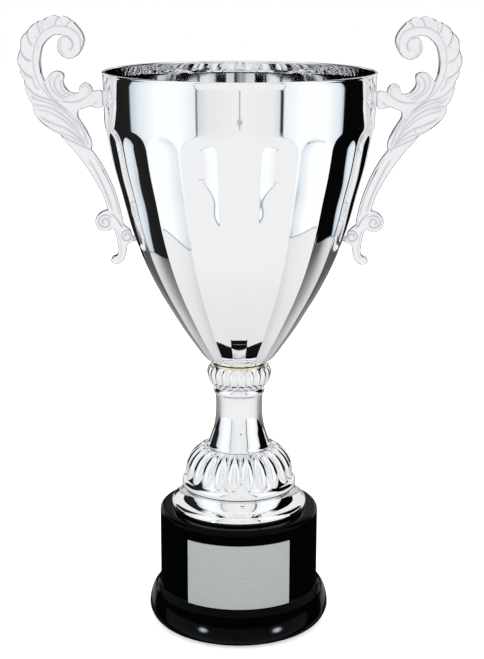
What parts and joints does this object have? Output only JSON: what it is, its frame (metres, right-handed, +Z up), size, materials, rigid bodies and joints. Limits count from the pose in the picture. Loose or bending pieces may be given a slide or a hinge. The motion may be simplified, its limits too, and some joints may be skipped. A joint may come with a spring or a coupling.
{
  "type": "cup trophy",
  "caption": "Two-handled cup trophy: fluted plated bowl on a gadrooned collar, waisted stem and dome, fixed by a rod to a weighted round black base with a blank plate.",
  "frame": {"origin": "centre of the underside of the felt pad", "axes": "+Z up along the bowl's axis, handles along X, plate on the -Y side"},
  "size_m": [0.2276, 0.1414, 0.3277],
  "materials": {
    "bright_plate": "mirror-bright silver-coloured plating on thin sheet metal",
    "cast_plate": "bright silver-coloured plating on a casting, slightly softer than the bowl",
    "zinc_steel": "zinc-plated steel fasteners",
    "gold_ring": "polished, a thin line at the foot of the bowl",
    "black_gloss": "black, high gloss",
    "adhesive": "thin white foam tape",
    "plate_metal": "silver grey, fine brushed grain running across, blank",
    "iron": "rough cast",
    "board": "brown hardboard",
    "felt": "dark green self-adhesive felt"
  },
  "bodies": {
    "root": {"bowl": "bright_plate", "collar": "bright_plate", "stem": "bright_plate", "dome": "bright_plate", "flange": "bright_plate", "handle_left": "cast_plate", "handle_right": "cast_plate", "screw_upper_left": "zinc_steel", "screw_upper_right": "zinc_steel", "screw_lower_left": "zinc_steel", "screw_lower_right": "zinc_steel", "washer_upper_left": "zinc_steel", "washer_upper_right": "zinc_steel", "washer_lower_left": "zinc_steel", "washer_lower_right": "zinc_steel", "tie_rod": "zinc_steel", "top_washer": "zinc_steel", "top_nut": "zinc_steel", "bottom_washer": "zinc_steel", "bottom_nut": "zinc_steel", "seat_ring": "gold_ring", "base_shell": "black_gloss", "plate_adhesive": "adhesive", "name_plate": "plate_metal", "base_weight": "iron", "bottom_board": "board", "felt_pad": "felt"}
  },
  "joints": []
}
